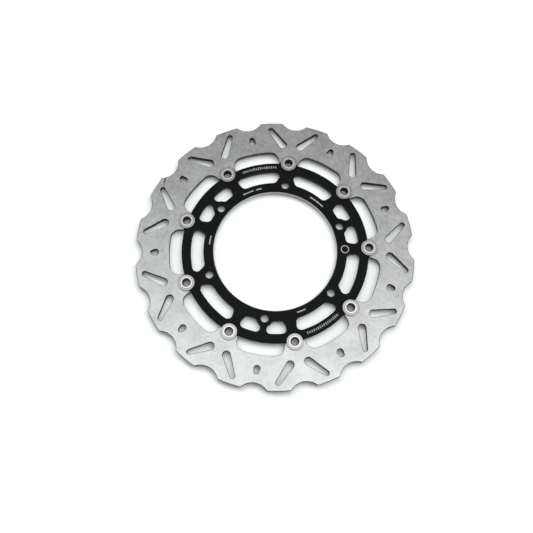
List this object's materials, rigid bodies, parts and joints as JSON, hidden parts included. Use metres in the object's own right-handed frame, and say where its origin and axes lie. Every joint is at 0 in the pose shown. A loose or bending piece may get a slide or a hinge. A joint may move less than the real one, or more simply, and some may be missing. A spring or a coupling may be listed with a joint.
{
  "type": "brake disc rotor",
  "caption": "Floating motorcycle brake disc rotor: a scalloped and slotted steel ring hung on a black alloy carrier by riveted bobbins with wave spring washers.",
  "frame": {"origin": "centre of the hub bore and of the bolt circle, in the plane of the carrier's hub face", "axes": "+Z is the rotor's axis and points outboard, to the side with the rolled bobbin lips; +Y passes through a bobbin and a hub bolt hole"},
  "size_m": [0.298, 0.2966, 0.0091],
  "materials": {
    "ring_steel": "ground martensitic stainless steel",
    "carrier_alloy": "black hard-anodised aluminium alloy, matt",
    "bobbin_steel": "turned steel, plated, rolled lip polished",
    "washer_steel": "zinc-plated flat washer, satin",
    "spring_steel": "hardened spring strip"
  },
  "bodies": {
    "carrier": {"carrier": "carrier_alloy"},
    "ring": {"brake_ring": "ring_steel"},
    "bobbin_set_1": {"bobbin_1": "bobbin_steel", "flat_washer_1": "washer_steel", "wave_washer_1": "spring_steel"},
    "bobbin_set_2": {"bobbin_2": "bobbin_steel", "flat_washer_2": "washer_steel", "wave_washer_2": "spring_steel"},
    "bobbin_set_3": {"bobbin_3": "bobbin_steel", "flat_washer_3": "washer_steel", "wave_washer_3": "spring_steel"},
    "bobbin_set_4": {"bobbin_4": "bobbin_steel", "flat_washer_4": "washer_steel", "wave_washer_4": "spring_steel"},
    "bobbin_set_5": {"bobbin_5": "bobbin_steel", "flat_washer_5": "washer_steel", "wave_washer_5": "spring_steel"},
    "bobbin_set_6": {"bobbin_6": "bobbin_steel", "flat_washer_6": "washer_steel", "wave_washer_6": "spring_steel"},
    "bobbin_set_7": {"bobbin_7": "bobbin_steel", "flat_washer_7": "washer_steel", "wave_washer_7": "spring_steel"},
    "bobbin_set_8": {"bobbin_8": "bobbin_steel", "flat_washer_8": "washer_steel", "wave_washer_8": "spring_steel"},
    "bobbin_set_9": {"bobbin_9": "bobbin_steel", "flat_washer_9": "washer_steel", "wave_washer_9": "spring_steel"}
  },
  "joints": [
    {"name": "ring_float", "type": "slide", "parent": "carrier", "child": "ring", "axis": [0, 0, 1], "range_m": [0, 0.0003], "stiffness_N_per_m": 100000, "springref_m": -0.0003, "deforming": ["wave_washer_1", "wave_washer_2", "wave_washer_3", "wave_washer_4", "wave_washer_5", "wave_washer_6", "wave_washer_7", "wave_washer_8", "wave_washer_9"]},
    {"name": "bobbin_1_spin", "type": "hinge", "parent": "carrier", "child": "bobbin_set_1", "pos_m": [0, 0.1005, 0.0025], "axis": [0, 0, 1], "continuous": true},
    {"name": "bobbin_2_spin", "type": "hinge", "parent": "carrier", "child": "bobbin_set_2", "pos_m": [-0.0646, 0.07699, 0.0025], "axis": [0, 0, 1], "continuous": true},
    {"name": "bobbin_3_spin", "type": "hinge", "parent": "carrier", "child": "bobbin_set_3", "pos_m": [-0.09897, 0.01745, 0.0025], "axis": [0, 0, 1], "continuous": true},
    {"name": "bobbin_4_spin", "type": "hinge", "parent": "carrier", "child": "bobbin_set_4", "pos_m": [-0.08704, -0.05025, 0.0025], "axis": [0, 0, 1], "continuous": true},
    {"name": "bobbin_5_spin", "type": "hinge", "parent": "carrier", "child": "bobbin_set_5", "pos_m": [-0.03437, -0.09444, 0.0025], "axis": [0, 0, 1], "continuous": true},
    {"name": "bobbin_6_spin", "type": "hinge", "parent": "carrier", "child": "bobbin_set_6", "pos_m": [0.03437, -0.09444, 0.0025], "axis": [0, 0, 1], "continuous": true},
    {"name": "bobbin_7_spin", "type": "hinge", "parent": "carrier", "child": "bobbin_set_7", "pos_m": [0.08704, -0.05025, 0.0025], "axis": [0, 0, 1], "continuous": true},
    {"name": "bobbin_8_spin", "type": "hinge", "parent": "carrier", "child": "bobbin_set_8", "pos_m": [0.09897, 0.01745, 0.0025], "axis": [0, 0, 1], "continuous": true},
    {"name": "bobbin_9_spin", "type": "hinge", "parent": "carrier", "child": "bobbin_set_9", "pos_m": [0.0646, 0.07699, 0.0025], "axis": [0, 0, 1], "continuous": true}
  ]
}
